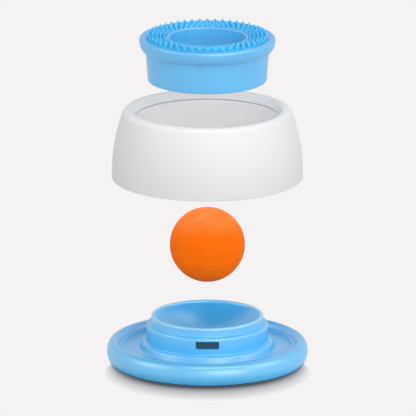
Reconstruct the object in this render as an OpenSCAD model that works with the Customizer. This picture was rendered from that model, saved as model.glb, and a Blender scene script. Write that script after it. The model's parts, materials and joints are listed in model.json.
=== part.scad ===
// Pet lick bowl that lifts apart along its axis: a stepped base with a food cup,
// a hollow ball, a domed outer shell and a plug-in lick ring with soft nubs.
// The pieces are drawn lifted apart, and each one seats when it is lowered by its lift.

/* [Base] */
// Diameter over the rolled rim
base_d = 150; // [146:0.5:156]
// Radial width of the rolled rim
rim_w = 10.4; // [9.6:0.1:11]
// Height of the crest of the rolled rim
rim_top_z = 16.2; // [16:0.1:16.4]
// Height of the tray floor inside the rim
tray_z = 10.6; // [10:0.1:11]
// Height of the small step between rim and tray floor
tray_step_h = 1.8; // [1.2:0.1:2.2]
// Wall thickness of the base
base_wall = 2.6; // [2.2:0.1:2.8]
// Diameter of the neck's foot where it leaves the tray
foot_d = 100.8; // [99:0.2:103]
// Height of the foot's flat top, where the sleeve of the shell stands
foot_top_z = 16; // [15.8:0.1:16.2]
// Diameter of the lower neck
neck_d = 91.2; // [90.4:0.1:91.6]
// Height of the shoulder between lower and upper neck
shoulder_z = 29.4; // [29:0.1:30]
// Diameter of the upper neck
collar_d = 83.4; // [82:0.1:84]
// Height of the lip of the cup
lip_z = 35.8; // [35:0.1:37]
// Depth of the cup below its lip
cup_depth = 15.1; // [14:0.1:15.5]

/* [Latch] */
// Number of latch windows round the neck
latch_count = 3; // [2:1:4]
// Width of a latch window
window_w = 17.6; // [16:0.1:19]
// Height of a latch window
window_h = 6; // [5.4:0.1:6]
// Play between a latch tab and the edges of its window
latch_play = 0.6; // [0.4:0.1:0.8]
// How far a latch tab reaches into its window
latch_catch = 0.7; // [0.4:0.1:1]

/* [Foot ring] */
// Width of the rubber ring under the rim
foot_ring_w = 3.8; // [3.4:0.1:4]
// Gap between the rubber ring and the sides of its groove
foot_ring_gap = 0.1; // [0.05:0.05:0.2]
// How far the rubber ring stands below the rim
foot_ring_proud = 1.2; // [1:0.1:1.4]

/* [Ball] */
// Diameter of the ball
ball_d = 56; // [54:0.2:56.2]
// Wall thickness of the hollow ball
ball_wall = 2.8; // [2.4:0.1:3.4]
// Depth of the groove along the ball's parting line
seam_depth = 0.35; // [0.2:0.05:0.5]
// Tilt of the parting line towards the front
seam_tilt = 17.5; // [0:0.5:40]
// Gap under the seated ball
ball_gap = 0.3; // [0.2:0.1:0.8]

/* [Shell] */
// Diameter of the shell at its lower edge
shell_d = 142; // [140:0.5:143]
// Height of the shell
shell_h = 52.4; // [51:0.2:54]
// Diameter where the dome turns into the rounded top edge
shell_top_d = 126; // [125:0.2:127]
// Diameter of the mouth at the top edge
mouth_d = 109.8; // [109:0.2:111]
// Depth of the small step inside the mouth, below the top edge
mouth_depth = 7.2; // [6.6:0.1:7.6]
// Diameter of the inner wall below that step
liner_d = 106.4; // [105.6:0.2:107]
// Height of the shelf between the inner wall and the sleeve
shelf_h = 19.4; // [18.6:0.2:20]
// Wall thickness of the dome
shell_wall = 3; // [2.4:0.1:3.2]
// Gap between the sleeve and the lower neck
sleeve_gap = 0.7; // [0.5:0.1:0.9]
// Wall thickness of the sleeve
sleeve_wall = 2.3; // [2:0.1:2.4]

/* [Lick ring] */
// Diameter over the rounded rim of the lick ring
ring_d = 101.2; // [100:0.2:102]
// Height of the lick ring below its widest line
ring_drop = 30.6; // [28:0.2:32]
// Depth of the rounded rim below its widest line
ring_rim_drop = 7.8; // [7.4:0.1:8.4]
// Diameter of the skirt below the rim
skirt_d = 91.6; // [91:0.1:92]
// Taper of the skirt's diameter over its height
skirt_taper = 3; // [2:0.1:3]
// Wall thickness of the lick ring
ring_wall = 2.2; // [2:0.1:2.3]
// Diameter of the hole that the ball shows through
hole_d = 56.8; // [56.8:0.1:57.4]
// Depth of the tube round the hole
tube_depth = 13.5; // [12:0.1:14]

/* [Nubs] */
// Number of rows of nubs
nub_rows = 4; // [3:1:4]
// Number of nubs in a row
nubs_per_row = 48; // [40:2:52]
// Height of a nub
nub_h = 4; // [2.6:0.1:4.4]
// Radius of a nub at its foot
nub_r = 1.5; // [1:0.05:1.6]
// Thickness of the pad under the nubs
nub_pad_t = 0.8; // [0.6:0.1:1]
// Dip of the pad from the rim of the lick ring to the hole
pad_dip = 2.2; // [1.8:0.1:2.8]

/* [Lifted apart] */
// Lift of the shell above its seat
shell_lift = 125; // [0:1:140]
// Lift of the lick ring above its seat in the shell
ring_lift = 61.7; // [0:0.1:70]
// Lift of the ball above its seat in the cup
ball_lift = 40.7; // [0:0.1:44]

/* [Hidden] */
$fn = 96;
blue = "#6fbdf0";
deep_blue = "#3fa3e8";
white = "#f1f0ef";
orange = "#fb6d0c";
rubber_grey = "#59636b";

// Far enough past any face for a clean cut
past = 1;

// Rolled rim, an upright oval cut flat below
rim_r = base_d / 2 - rim_w / 2;
rim_half_h = 8.4;
rim_mid_z = rim_top_z - rim_half_h;
rim_step = 7.5;
groove_w = foot_ring_w + 2 * foot_ring_gap;
groove_top_z = 6.6;
tray_step_w = 1.9;
tray_floor_r = rim_r - rim_w / 2 - tray_step_w + 0.2;

// Neck, collar and cup
neck_r = neck_d / 2;
collar_r = collar_d / 2;
foot_round = 0.8;
foot_top_r = foot_d / 2 - 1.9;
shoulder_round = 1.2;
lip_round = 1.75;
lip_r = collar_r - lip_round;
cup_floor_z = lip_z - cup_depth;
lip_rise = cup_depth - lip_round;
// Radius of the hollow that meets the rounded lip without a kink
cup_r = (pow(lip_r, 2) + pow(lip_rise, 2) - pow(lip_round, 2)) / (2 * cup_depth);
cup_centre_z = cup_floor_z + cup_r;

// Latch windows end under the shoulder
window_top_z = shoulder_z - base_wall;
window_low_z = window_top_z - window_h;
window_round = 0.8;
front = -90;

// Shell, measured from the level of its lower edge
shell_seat_z = rim_top_z + 0.4;
shell_z = shell_seat_z + shell_lift;
seat_gap = 0.1;
sleeve_r = neck_r + sleeve_gap;
sleeve_low = foot_top_z + seat_gap - shell_seat_z;
dome_low = 4;
top_round = 4.5;
mouth_round = 2;
mouth_r = mouth_d / 2;
mouth_low_r = mouth_r - 0.6;
mouth_step = shell_h - mouth_depth;
mouth_groove = 0.5;
liner_r = liner_d / 2;
liner_round = 0.5;
// Arc of the dome through its upright foot and its top diameter
dome_in = (shell_d - shell_top_d) / 2;
dome_up = shell_h - top_round + 1.5 - dome_low;
dome_r = (pow(dome_up, 2) + pow(dome_in, 2)) / (2 * dome_in);
dome_x = shell_d / 2 - dome_r;
// Centre of the top rounding, which touches the dome and the top edge
top_round_z = shell_h - top_round;
top_round_x = dome_x + sqrt(pow(dome_r - top_round, 2) - pow(top_round_z - dome_low, 2));
finger_angle = 28;
finger_slot = 2;
finger_h = 16;

// Lick ring, measured from its widest line; its skirt stands on the shoulder of the neck
ring_seat = shoulder_z + seat_gap + ring_drop - shell_seat_z;
ring_z = shell_z + ring_seat + ring_lift;
crest_round = 2.6;
crest_x = ring_d / 2 - crest_round;
belly_r = 12;
belly_x = ring_d / 2 - belly_r;
rim_undercut = 0.8;
skirt_r = skirt_d / 2;
skirt_in_r = skirt_r - ring_wall;
hole_r = hole_d / 2;
hole_lip = 1.1;
hole_lip_z = 1.6;
plate_t = 1.8;
nub_in_r = hole_r + 2 * hole_lip;
nub_out_r = crest_x - crest_round;
pad_slope = pad_dip / (nub_out_r - nub_in_r);

// Top of the plate under the pad, which dips towards the hole
function plate_z(r) = crest_round - nub_pad_t - (nub_out_r - r) * pad_slope;

// Ball
ball_r = ball_d / 2;
ball_seat_z = cup_floor_z + ball_gap + ball_r;
ball_z = ball_seat_z + ball_lift;
spigot_w = 1.3;
spigot_h = 2;
spigot_gap = 0.1;

// Upright stretch between two heights, in section
module wall(r_in, r_out, z_low, z_high) {
  translate([r_in, z_low])
    square([r_out - r_in, z_high - z_low]);
}

// Round bead in section
module bead(r, z, bead_r) {
  translate([r, z])
    circle(r = bead_r);
}

// Copies round the axis, the first one at the front
module round_axis(count) {
  for (i = [0 : count - 1])
    rotate([0, 0, front + i * 360 / count])
      children();
}

module rolled_rim_section() {
  difference() {
    union() {
      translate([rim_r, rim_mid_z])
        polygon([for (turn = [0 : rim_step : 360 - rim_step])
          [rim_w / 2 * cos(turn), rim_half_h * sin(turn)]]);
      wall(tray_floor_r, rim_r, tray_z - base_wall, tray_z + tray_step_h);
    }
    wall(tray_floor_r - past, base_d, -past, foot_ring_proud);
    wall(rim_r - groove_w / 2, rim_r + groove_w / 2, 0, groove_top_z);
  }
}

module neck_section() {
  wall(foot_top_r - base_wall, tray_floor_r + past, tray_z - base_wall, tray_z);
  polygon([[neck_r - base_wall, foot_top_z - base_wall], [foot_top_r - base_wall, tray_z - base_wall],
    [foot_top_r, tray_z - base_wall], [foot_d / 2, tray_z], [foot_top_r, foot_top_z - foot_round],
    [foot_top_r - foot_round, foot_top_z], [neck_r - base_wall, foot_top_z]]);
  bead(foot_top_r - foot_round, foot_top_z - foot_round, foot_round);
  wall(neck_r - base_wall, neck_r, foot_top_z - base_wall, shoulder_z - shoulder_round);
  bead(neck_r - shoulder_round, shoulder_z - shoulder_round, shoulder_round);
  wall(collar_r - base_wall, neck_r - shoulder_round, shoulder_z - base_wall, shoulder_z);
  wall(collar_r - base_wall, collar_r, shoulder_z - base_wall, lip_z - lip_round);
}

module cup_section() {
  bead(lip_r, lip_z - lip_round, lip_round);
  intersection() {
    difference() {
      bead(0, cup_centre_z, cup_r + base_wall);
      bead(0, cup_centre_z, cup_r);
    }
    polygon([[0, cup_centre_z], [0, 0], [lip_r, 0], [lip_r, lip_z - lip_round]]);
  }
}

module latch_window() {
  straight = window_w - 2 * window_round;
  translate([neck_r - 2 * base_wall, 0, (window_low_z + window_top_z) / 2])
    rotate([90, 0, 90])
      linear_extrude(height = 4 * base_wall) {
        square([window_w, window_h - 2 * window_round], center = true);
        square([straight, window_h], center = true);
        for (x = [-1, 1], z = [-1, 1])
          translate([x * straight / 2, z * (window_h / 2 - window_round)])
            circle(r = window_round);
      }
}

module base() {
  color(blue)
    difference() {
      rotate_extrude() {
        rolled_rim_section();
        neck_section();
        cup_section();
      }
      round_axis(latch_count)
        latch_window();
    }
}

module foot_ring() {
  low_round = 0.6;
  low_in = rim_r - foot_ring_w / 2;
  low_out = rim_r + foot_ring_w / 2;
  color(rubber_grey)
    rotate_extrude() {
      wall(low_in, low_out, low_round, groove_top_z - 0.2);
      wall(low_in + low_round, low_out - low_round, 0, low_round);
      bead(low_in + low_round, low_round, low_round);
      bead(low_out - low_round, low_round, low_round);
    }
}

// Half of the hollow ball in section, with half of the groove along the parting line
module ball_half_section() {
  intersection() {
    difference() {
      circle(r = ball_r);
      circle(r = ball_r - ball_wall);
      polygon([[ball_r - seam_depth, 0], [ball_r + past, -past], [ball_r + past, past + seam_depth]]);
    }
    square(ball_r);
  }
}

module place_ball() {
  translate([0, 0, ball_z])
    rotate([seam_tilt, 0, 0])
      children();
}

module ball_upper_half() {
  spigot_out = ball_r - ball_wall + spigot_w;
  color(orange)
    place_ball()
      rotate_extrude()
        difference() {
          ball_half_section();
          wall(0, spigot_out + spigot_gap, 0, spigot_h + spigot_gap);
        }
}

module ball_lower_half() {
  spigot_in = ball_r - ball_wall;
  color(orange)
    place_ball()
      rotate_extrude() {
        mirror([0, 1])
          ball_half_section();
        wall(spigot_in, spigot_in + spigot_w, -spigot_h, spigot_h);
      }
}

// Everything inside the outer face of the shell, in section
module dome_section() {
  intersection() {
    bead(dome_x, dome_low, dome_r);
    wall(0, shell_d, 0, dome_low + dome_up);
  }
  bead(top_round_x, top_round_z, top_round);
  bead(mouth_r + mouth_round, shell_h - mouth_round, mouth_round);
  polygon([[mouth_r, mouth_step], [mouth_r, shell_h - mouth_round], [mouth_r + mouth_round, shell_h],
    [top_round_x, shell_h], [top_round_x, mouth_step]]);
}

module shell_section() {
  band_out = mouth_r + 1.6;
  difference() {
    dome_section();
    polygon([[-past, mouth_step], [mouth_low_r, mouth_step], [mouth_r, shell_h - mouth_round],
      [mouth_r, shell_h + past], [-past, shell_h + past]]);
    bead(mouth_low_r, mouth_step + mouth_groove, mouth_groove);
    wall(-past, liner_r, shelf_h, mouth_step + past);
    wall(-past, sleeve_r, -past, shelf_h + past);
    intersection() {
      bead(dome_x, dome_low, dome_r - shell_wall);
      union() {
        wall(sleeve_r + sleeve_wall, shell_d, -past, shelf_h - sleeve_wall);
        wall(liner_r + sleeve_wall, shell_d, -past, mouth_step - sleeve_wall);
        wall(band_out, shell_d, -past, mouth_step + sleeve_wall);
      }
    }
    difference() {
      wall(liner_r - past, liner_r + liner_round, mouth_step - liner_round, mouth_step + past);
      bead(liner_r + liner_round, mouth_step - liner_round, liner_round);
    }
  }
  wall(sleeve_r, sleeve_r + sleeve_wall, sleeve_low, past);
}

// Tab with a ramp below and a square catch above
module latch_tab() {
  low = window_low_z + latch_play - shell_seat_z;
  high = window_top_z - latch_play - shell_seat_z;
  tip_r = neck_r - latch_catch;
  tab_angle = (window_w - 2 * latch_play) / neck_r * 180 / PI;
  rotate([0, 0, -tab_angle / 2])
    rotate_extrude(angle = tab_angle)
      polygon([[sleeve_r + past, low - past], [sleeve_r, low - past], [tip_r, low + past],
        [tip_r, high], [sleeve_r + past, high]]);
}

// Slots that free the sleeve's spring finger on both sides of a tab
module finger_slots() {
  for (side = [-1, 1])
    rotate([0, 0, side * finger_angle / 2])
      translate([sleeve_r - past, -finger_slot / 2, sleeve_low - past])
        cube([sleeve_wall + 2 * past, finger_slot, finger_h]);
}

module shell() {
  color(white)
    translate([0, 0, shell_z]) {
      difference() {
        rotate_extrude()
          shell_section();
        round_axis(latch_count)
          finger_slots();
      }
      round_axis(latch_count)
        latch_tab();
    }
}

module ring_rim_section() {
  edge_x = belly_x + sqrt(pow(belly_r, 2) - pow(ring_rim_drop, 2));
  bead(crest_x, 0, crest_round);
  polygon([[skirt_in_r, -past], [crest_x, -past],
    [crest_x, plate_z(crest_x)], [skirt_in_r, plate_z(skirt_in_r)]]);
  difference() {
    intersection() {
      bead(belly_x, 0, belly_r);
      wall(skirt_in_r, ring_d, -ring_rim_drop, 0);
    }
    polygon([[skirt_r, -ring_rim_drop + rim_undercut], [edge_x, -ring_rim_drop],
      [edge_x, -ring_rim_drop - past], [skirt_r, -ring_rim_drop - past]]);
  }
}

module skirt_section() {
  end_round = ring_wall / 2;
  lean = atan(skirt_taper / 2 / (ring_drop - ring_rim_drop));
  length = (ring_drop - ring_rim_drop - end_round) / cos(lean);
  translate([skirt_r - end_round, -ring_rim_drop])
    rotate(-lean) {
      wall(-end_round, end_round, -length, past);
      bead(0, -length, end_round);
    }
}

module tube_section() {
  for (z = [hole_lip_z, -tube_depth])
    bead(hole_r + hole_lip, z, hole_lip);
  wall(hole_r, nub_in_r, -tube_depth, hole_lip_z);
}

module plate_section() {
  in_r = hole_r + hole_lip;
  out_r = skirt_in_r + past;
  polygon([[in_r, plate_z(in_r)], [in_r, plate_z(in_r) - plate_t],
    [out_r, plate_z(out_r) - plate_t], [out_r, plate_z(out_r)]]);
}

module lick_ring() {
  color(blue)
    translate([0, 0, ring_z])
      rotate_extrude() {
        ring_rim_section();
        skirt_section();
        tube_section();
        plate_section();
      }
}

// Nub pad: a polar grid whose cells each carry one six-sided pointed nub.
// Rows are set half a step from their neighbours, so every ring of the grid
// has two points for each nub. The pad lies on the dipped plate.
half_steps = 2 * nubs_per_row;
half_step = 360 / half_steps;
pad_gap = 0.05;
pad_in_r = nub_in_r + pad_gap;
pad_out_r = nub_out_r - pad_gap;
row_w = (pad_out_r - pad_in_r) / nub_rows;
grid_rings = nub_rows + 1;
// Six corners of a nub's foot, as turns from the outward direction
corner_turns = [0, 60, 120, 180, 240, 300];
// Matching points of the cell round it: ring (0 in, 1 out) and half step
corner_cells = [[1, 0], [1, 1], [0, 1], [0, 0], [0, -1], [1, -1]];

function polar(r, a, z = 0) = [r * cos(a), r * sin(a), z];
function pad_z(r) = plate_z(r) + nub_pad_t;
function grid_r(ring) = pad_in_r + ring * row_w;
function grid_i(ring, step) = ring * half_steps + (step + half_steps) % half_steps;
function nub_r_at(row) = grid_r(row) + row_w / 2;
function nub_step(row, i) = 2 * i + row % 2;
function nub_corner(row, i, turn) =
  let (a = nub_step(row, i) * half_step, foot = polar(nub_r_at(row), a) + nub_r * polar(1, a + turn))
  [foot.x, foot.y, pad_z(norm(foot))];

nub_count = nub_rows * nubs_per_row;
corner_start = grid_rings * half_steps;
tip_start = corner_start + nub_count * 6;
floor_start = tip_start + nub_count;

function nub_id(row, i) = row * nubs_per_row + i;
function corner_i(row, i, c) = corner_start + nub_id(row, i) * 6 + c % 6;
function cell_i(row, i, c) =
  let (cell = corner_cells[c % 6])
  grid_i(row + cell[0], nub_step(row, i) + cell[1]);
function floor_i(side, step) = floor_start + side * half_steps + step % half_steps;

pad_points = [
  for (ring = [0 : nub_rows], s = [0 : half_steps - 1])
    polar(grid_r(ring), s * half_step, pad_z(grid_r(ring))),
  for (row = [0 : nub_rows - 1], i = [0 : nubs_per_row - 1], turn = corner_turns) nub_corner(row, i, turn),
  for (row = [0 : nub_rows - 1], i = [0 : nubs_per_row - 1])
    polar(nub_r_at(row), nub_step(row, i) * half_step, pad_z(nub_r_at(row)) + nub_h),
  for (r = [pad_in_r, pad_out_r], s = [0 : half_steps - 1]) polar(r, s * half_step, plate_z(r))
];

nub_faces = [
  for (row = [0 : nub_rows - 1], i = [0 : nubs_per_row - 1], c = [0 : 5])
    each [
      [tip_start + nub_id(row, i), corner_i(row, i, c + 1), corner_i(row, i, c)],
      [corner_i(row, i, c), corner_i(row, i, c + 1), cell_i(row, i, c)],
      [corner_i(row, i, c + 1), cell_i(row, i, c + 1), cell_i(row, i, c)]
    ]
];

edge_faces = [
  for (s = [0 : half_steps - 1])
    each [
      [grid_i(0, s), floor_i(0, s), floor_i(0, s + 1)],
      [grid_i(0, s), floor_i(0, s + 1), grid_i(0, s + 1)],
      [grid_i(nub_rows, s), floor_i(1, s + 1), floor_i(1, s)],
      [grid_i(nub_rows, s), grid_i(nub_rows, s + 1), floor_i(1, s + 1)],
      [floor_i(0, s), floor_i(1, s + 1), floor_i(0, s + 1)],
      [floor_i(0, s), floor_i(1, s), floor_i(1, s + 1)]
    ]
];

module lick_nubs() {
  color(deep_blue)
    translate([0, 0, ring_z])
      polyhedron(points = pad_points, faces = concat(nub_faces, edge_faces), convexity = 10);
}

base();
foot_ring();
ball_upper_half();
ball_lower_half();
shell();
lick_ring();
lick_nubs();
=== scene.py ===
"""Pet lick bowl, lifted apart along its axis: moulded pieces and finishes in a soft studio."""

import json
from math import acos, asin, atan, atan2, cos, degrees, hypot, pi, radians, sin, sqrt

import bmesh
import bpy
from bpy.props import FloatProperty, FloatVectorProperty, IntProperty, PointerProperty
from mathutils import Matrix, Vector

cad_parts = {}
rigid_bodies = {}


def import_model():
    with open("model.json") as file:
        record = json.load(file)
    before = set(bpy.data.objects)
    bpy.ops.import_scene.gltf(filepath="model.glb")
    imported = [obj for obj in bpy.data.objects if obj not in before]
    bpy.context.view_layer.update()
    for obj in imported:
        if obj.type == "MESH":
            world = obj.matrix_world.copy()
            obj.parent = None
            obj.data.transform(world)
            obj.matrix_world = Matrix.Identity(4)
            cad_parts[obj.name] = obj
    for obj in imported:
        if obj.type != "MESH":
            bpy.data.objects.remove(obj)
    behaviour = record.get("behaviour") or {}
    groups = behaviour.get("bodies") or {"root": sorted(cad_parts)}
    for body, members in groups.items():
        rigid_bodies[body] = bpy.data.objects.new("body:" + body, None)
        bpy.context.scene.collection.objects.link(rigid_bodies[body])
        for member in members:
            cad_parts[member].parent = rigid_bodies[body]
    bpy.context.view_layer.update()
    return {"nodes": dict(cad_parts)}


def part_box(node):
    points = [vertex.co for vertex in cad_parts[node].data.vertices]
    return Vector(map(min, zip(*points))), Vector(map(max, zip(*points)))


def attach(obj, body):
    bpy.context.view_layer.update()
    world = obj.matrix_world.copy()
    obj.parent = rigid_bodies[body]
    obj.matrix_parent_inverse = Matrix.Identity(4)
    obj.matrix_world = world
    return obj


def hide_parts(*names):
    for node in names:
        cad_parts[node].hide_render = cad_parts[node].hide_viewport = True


bl_info = {
    "name": "Pet Lick Bowl",
    "version": (1, 0, 0),
    "blender": (4, 5, 0),
    "location": "View3D > Sidebar > Lick Bowl",
    "description": "Models the pieces of a lift-apart pet lick bowl, their finishes and a soft studio",
    "category": "Add Mesh",
}

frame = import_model()

MM = 0.001
SPIN_STEPS = 192
BALL_STEPS = 128
NUB_STEPS = 8
COLUMN = 2 * pi / SPIN_STEPS
ROUND_SEGMENTS = 5
WINDOW_SEGMENTS = 4
MERGE_DISTANCE = 0.002 * MM
SHARP_ANGLE = radians(40)
CORNER_ANGLE = radians(60)
FRONT = -pi / 2
LATCH_TURNS = [FRONT + i * 2 * pi / 3 for i in range(3)]
# Widths round the axis of a latch window, a latch tab and a spring finger, in columns of the spin
WINDOW_COLUMNS = 12
TAB_COLUMNS = 11
FINGER_COLUMNS = 15
# Sines of the angles at which the pale walls end, for light and in reflections, and over which they fade
WALL_TOP = 0.6
MIRRORED_TOP = 0.75
WALL_FADE = 0.2

BASE_LOW, BASE_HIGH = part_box("base")
BALL_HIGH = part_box("ball_upper_half")[1]
BALL_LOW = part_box("ball_lower_half")[0]
SHELL_LOW, SHELL_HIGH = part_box("shell")
RING_LOW, RING_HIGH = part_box("lick_ring")


def length(name, description, default):
    """A size in metres."""
    return FloatProperty(name=name, description=description, default=default, min=0, precision=5,
                         subtype="DISTANCE", unit="LENGTH")


def angle(name, description, default):
    """An angle, given in degrees and kept in radians."""
    return FloatProperty(name=name, description=description, default=radians(default), subtype="ANGLE",
                         unit="ROTATION")


def strength(name, description, default):
    """The strength or power of a light, or a plain factor."""
    return FloatProperty(name=name, description=description, default=default, min=0)


def colour(name, description, red, green, blue):
    """A colour given in display values from 0 to 255 and kept in linear ones."""
    linear = [(c / 255 / 12.92) if c < 11 else ((c / 255 + 0.055) / 1.055) ** 2.4 for c in (red, green, blue)]
    return FloatVectorProperty(name=name, description=description, default=(*linear, 1), size=4, min=0, max=1,
                               subtype="COLOR")


class BaseSizes(bpy.types.PropertyGroup):
    """Sizes and colours of the stepped base."""

    rim_radius: length("Rim radius", "Radius over the rolled rim", BASE_HIGH.x)
    rim_width: length("Rim width", "Radial width of the rolled rim", 10.4 * MM)
    rim_crest: length("Rim crest", "Height of the crest of the rolled rim", 16.2 * MM)
    rim_half: length("Rim half height", "Half the height of the rim's full oval", 8.4 * MM)
    groove_width: length("Groove width", "Width of the groove for the foot ring", 4 * MM)
    groove_top: length("Groove top", "Height of the top of the groove for the foot ring", 6.6 * MM)
    tray: length("Tray", "Height of the tray floor", 10.6 * MM)
    tray_radius: length("Tray radius", "Radius of the tray floor", 62.9 * MM)
    step: length("Step", "Height of the small step between tray and rim", 1.8 * MM)
    wall: length("Wall", "Wall thickness", 2.6 * MM)
    foot_radius: length("Foot radius", "Radius of the neck's foot on the tray", 50.4 * MM)
    foot_flare: length("Foot flare", "How far the foot widens from its top to the tray", 1.9 * MM)
    foot_top: length("Foot top", "Height of the foot's flat top", 16 * MM)
    neck_radius: length("Neck radius", "Radius of the lower neck", 45.6 * MM)
    shoulder: length("Shoulder", "Height of the shoulder of the neck", 29.4 * MM)
    collar_radius: length("Collar radius", "Radius of the upper neck", 41.7 * MM)
    lip: length("Lip", "Height of the lip of the cup", BASE_HIGH.z)
    lip_round: length("Lip rounding", "Radius of the bead along the lip", 1.45 * MM)
    lip_drop: length("Lip drop", "Depth of the upright wall under the bead, inside the cup", 0.6 * MM)
    cup_depth: length("Cup depth", "Depth of the cup below its lip", 15.1 * MM)
    window_height: length("Window height", "Height of a latch window", 6 * MM)
    window_round: length("Window rounding", "Rounding of the edges of a latch window", 0.9 * MM)
    plastic: colour("Plastic", "Colour of the satin plastic", 82, 190, 245)
    # The cup colour is painted shade: the plastic inside the cup is coloured deeper than outside.
    cup: colour("Cup", "Colour of the plastic in the cup", 34, 180, 253)
    # The thin-lip colour is a painted highlight along the top of the lip.
    thin: colour("Thin lip", "Colour of the thin lip, where light comes through the plastic", 142, 214, 250)
    rubber: colour("Rubber", "Colour of the foot ring", 84, 94, 102)


class BallSizes(bpy.types.PropertyGroup):
    """Sizes and colours of the hollow ball."""

    radius: length("Radius", "Radius of the ball", BALL_HIGH.x)
    wall: length("Wall", "Wall thickness of the ball", 2.8 * MM)
    centre: length("Centre", "Height of the centre of the ball", BALL_LOW.z + BALL_HIGH.x)
    seam: length("Seam", "Depth of the groove along the parting line", 0.3 * MM)
    tilt: angle("Tilt", "Tilt of the parting line towards the front", 17.5)
    plastic: colour("Plastic", "Colour of the matt ball", 248, 107, 0)
    # The crown colour is a painted highlight on the top of the ball.
    painted_highlight: colour("Bloom", "Colour of the chalky bloom on its crown", 250, 142, 72)


class ShellSizes(bpy.types.PropertyGroup):
    """Sizes and colours of the domed outer shell."""

    radius: length("Radius", "Radius of the shell at its widest", SHELL_HIGH.x)
    low: length("Lower edge", "Height of the lower edge of the dome", SHELL_HIGH.z - 52.4 * MM)
    top: length("Top", "Height of the top edge", SHELL_HIGH.z)
    wall: length("Wall", "Wall thickness of the dome", 3 * MM)
    upright: length("Upright", "Height above the lower edge where the dome stands upright", 4 * MM)
    top_radius: length("Top radius", "Radius where the dome would reach the top rounding", 63 * MM)
    top_round: length("Top rounding", "Radius of the outer top edge", 4.5 * MM)
    mouth_radius: length("Mouth radius", "Radius of the mouth at the top edge", 54.9 * MM)
    mouth_round: length("Mouth rounding", "Radius of the inner top edge", 2 * MM)
    mouth_taper: length("Mouth taper", "How far the mouth narrows down to the small step", 0.6 * MM)
    mouth_depth: length("Mouth depth", "Depth of the small step below the top edge", 7.2 * MM)
    mouth_groove: length("Mouth groove", "Radius of the fine groove above the small step", 0.5 * MM)
    liner_radius: length("Liner radius", "Radius of the inner wall below the small step", 53.2 * MM)
    shelf: length("Shelf", "Height of the shelf between inner wall and sleeve", 19.4 * MM)
    sleeve_radius: length("Sleeve radius", "Inner radius of the sleeve", 46.3 * MM)
    sleeve_wall: length("Sleeve wall", "Wall thickness of the sleeve", 2.3 * MM)
    finger: length("Finger", "Length of the sleeve's spring fingers", 15 * MM)
    tab_tip: length("Tab tip", "Radius of the tip of a latch tab", 44.9 * MM)
    tab_low: length("Tab low", "Height of a tab's catch above the lower edge", 4.8 * MM)
    tab_height: length("Tab height", "Height of a latch tab", 4.8 * MM)
    plastic: colour("Plastic", "Colour of the fine matt plastic", 221, 220, 220)
    # The inside colour is painted light: a paler tone for the inside of the mouth.
    inside: colour("Inside", "Colour of the paler inside of the mouth", 232, 231, 230)


class RingSizes(bpy.types.PropertyGroup):
    """Sizes and colour of the lick ring."""

    radius: length("Radius", "Radius over the rounded rim", RING_HIGH.x)
    level: length("Level", "Height of the widest line of the rim", RING_HIGH.z - 2.7 * MM)
    crest_round: length("Crest rounding", "Radius of the rim's crest", 2.6 * MM)
    belly: length("Belly", "Radius of the rim's belly", 12 * MM)
    rim_drop: length("Rim drop", "Depth of the rim below its widest line", 7.8 * MM)
    undercut: length("Undercut", "How far the underside of the rim rises to the skirt", 0.8 * MM)
    skirt_radius: length("Skirt radius", "Radius of the skirt under the rim", 45.8 * MM)
    skirt_taper: length("Skirt taper", "How far the skirt's radius shrinks", 1.5 * MM)
    low: length("Low", "Height of the lower edge of the skirt", RING_LOW.z)
    wall: length("Wall", "Wall thickness of the skirt", 2.2 * MM)
    hole_radius: length("Hole radius", "Radius of the hole", 28.4 * MM)
    hole_lip: length("Hole lip", "Radius of the rounded lip round the hole", 1.4 * MM)
    tube_end: length("Tube end", "Radius of the rounded lower end of the tube", 1.1 * MM)
    hole_rise: length("Hole rise", "Height of the lip's centre above the widest line", 1.6 * MM)
    tube_depth: length("Tube depth", "Depth of the tube round the hole", 13.5 * MM)
    plate: length("Plate", "Thickness of the plate under the nubs", 1.8 * MM)
    pad_inner: length("Pad inner", "Inner radius of the nub pad", 30.6 * MM)
    pad_outer: length("Pad outer", "Outer radius of the nub pad", 45.4 * MM)
    pad_thickness: length("Pad thickness", "Thickness of the nub pad", 0.8 * MM)
    pad_dip: length("Pad dip", "How far the pad dips from the rim to the hole", 2.2 * MM)
    silicone: colour("Silicone", "Colour of the silky silicone", 76, 183, 241)


class NubSizes(bpy.types.PropertyGroup):
    """Sizes and colours of the nubs."""

    edge: length("Edge", "Gap between the pad and its neighbours", 0.05 * MM)
    height: length("Height", "Height of a nub above the pad", 3.2 * MM)
    foot: length("Foot", "Radius of a nub at its foot", 1.42 * MM)
    tip: length("Tip", "Radius of a nub's rounded tip", 0.28 * MM)
    stretch: FloatProperty(name="Stretch", description="How much longer than wide a nub is, along its row",
                           default=1.9, min=1)
    rows: IntProperty(name="Rows", description="Number of rows of nubs", default=5, min=1)
    row_count: IntProperty(name="Nubs in a row", description="Number of nubs in a row", default=48, min=3)
    # The silicone colour is deeper than the ring's, painted shade between the nubs; the tip colour is painted
    # light on the tips.
    silicone: colour("Silicone", "Colour of the silicone between the nubs", 52, 185, 241)
    painted_tip_light: colour("Tips", "Colour of the thin tips, where light comes through", 123, 212, 249)


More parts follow.
